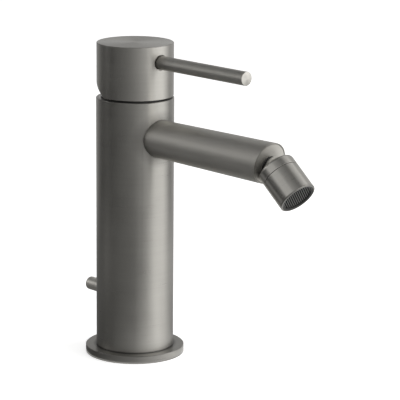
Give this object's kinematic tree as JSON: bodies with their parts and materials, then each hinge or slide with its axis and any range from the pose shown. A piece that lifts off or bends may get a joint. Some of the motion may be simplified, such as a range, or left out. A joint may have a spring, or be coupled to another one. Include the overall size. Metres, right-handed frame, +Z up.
{
  "type": "bidet mixer",
  "caption": "Single-lever deck-mounted bidet mixer with a round column, a straight pin lever, a fixed spout with a swivelling aerator and a rear pop-up knob.",
  "frame": {"origin": "on the column's axis, where the foot meets the deck", "axes": "+Z up along the column; the spout and the lever point along -Y; +X is to the right of someone who faces the spout"},
  "size_m": [0.0576, 0.1793, 0.1834],
  "materials": {
    "brushed_metal": "brushed, dark warm nickel colour",
    "bright_chrome": "polished",
    "brass": "machined",
    "plain_steel": "machined",
    "dark_steel": "machined, dark",
    "rubber": "matt",
    "black_plastic": "satin",
    "cartridge_plastic": "satin",
    "disc_ceramic": "lapped"
  },
  "bodies": {
    "mixer_body": {"base_flange": "brushed_metal", "base_gasket": "rubber", "base_block": "brass", "column_tube": "brushed_metal", "valve_body": "brass", "valve_body_seal": "rubber", "cartridge_base": "cartridge_plastic", "port_seals": "rubber", "cartridge_housing": "cartridge_plastic", "fixed_disc": "disc_ceramic", "cartridge_nut": "brass", "dome_ring": "bright_chrome", "spout_tube": "brushed_metal", "spout_plug": "brushed_metal", "plug_seal": "rubber", "ball_neck": "dark_steel", "rocker_bracket": "brass", "rocker_pin": "plain_steel"},
    "rotor": {"cartridge_rotor": "cartridge_plastic", "tilt_pin": "plain_steel"},
    "disc": {"moving_disc": "disc_ceramic", "disc_carrier": "cartridge_plastic"},
    "handle": {"stem": "brass", "handle_cap": "brushed_metal", "grub_screw": "plain_steel", "screw_cover": "black_plastic", "lever_rod": "brushed_metal"},
    "swivel_ring": {"neck_ring": "black_plastic"},
    "swivel_seat": {"ball_seat": "cartridge_plastic"},
    "aerator": {"aerator_collar": "brushed_metal", "aerator_housing": "brushed_metal", "aerator_insert": "black_plastic", "aerator_gasket": "rubber", "seat_gasket": "rubber"},
    "rocker": {"popup_knob": "brushed_metal", "rocker_fork": "brass"},
    "lift_link": {"lift_rod": "plain_steel", "lift_pin": "plain_steel"}
  },
  "joints": [
    {"name": "temperature", "type": "hinge", "parent": "mixer_body", "child": "rotor", "pos_m": [0, 0, 0.1517], "axis": [0, 0, 1], "range_deg": [-50, 50]},
    {"name": "lever_lift", "type": "hinge", "parent": "rotor", "child": "handle", "pos_m": [0, 0, 0.1517], "axis": [-1, 0, 0], "range_deg": [0, 25]},
    {"name": "disc_slide", "type": "slide", "parent": "rotor", "child": "disc", "axis": [0, -1, 0], "range_m": [0, 0.0036]},
    {"name": "swivel_direction", "type": "hinge", "parent": "mixer_body", "child": "swivel_ring", "pos_m": [0, -0.11614, 0.12778], "axis": [0, -0.977, -0.213], "continuous": true},
    {"name": "swivel_tilt", "type": "hinge", "parent": "swivel_ring", "child": "swivel_seat", "pos_m": [0, -0.11614, 0.12778], "axis": [1, 0, 0], "range_deg": [-27.2, 0]},
    {"name": "aerator_spin", "type": "hinge", "parent": "swivel_seat", "child": "aerator", "pos_m": [0, -0.11614, 0.12778], "axis": [0, -0.7716, -0.6361], "continuous": true},
    {"name": "knob_rock", "type": "hinge", "parent": "mixer_body", "child": "rocker", "pos_m": [0, 0.008, 0.0328], "axis": [1, 0, 0], "range_deg": [-12, 12]},
    {"name": "lift_rod_slide", "type": "slide", "parent": "mixer_body", "child": "lift_link", "axis": [0, 0, 1], "range_m": [-0.0037, 0.0037]}
  ],
  "couplings": [
    {"joint": "disc_slide", "follows": "lever_lift", "m_per_rad": 0.007942},
    {"joint": "lift_rod_slide", "follows": "knob_rock", "m_per_rad": -0.017}
  ]
}
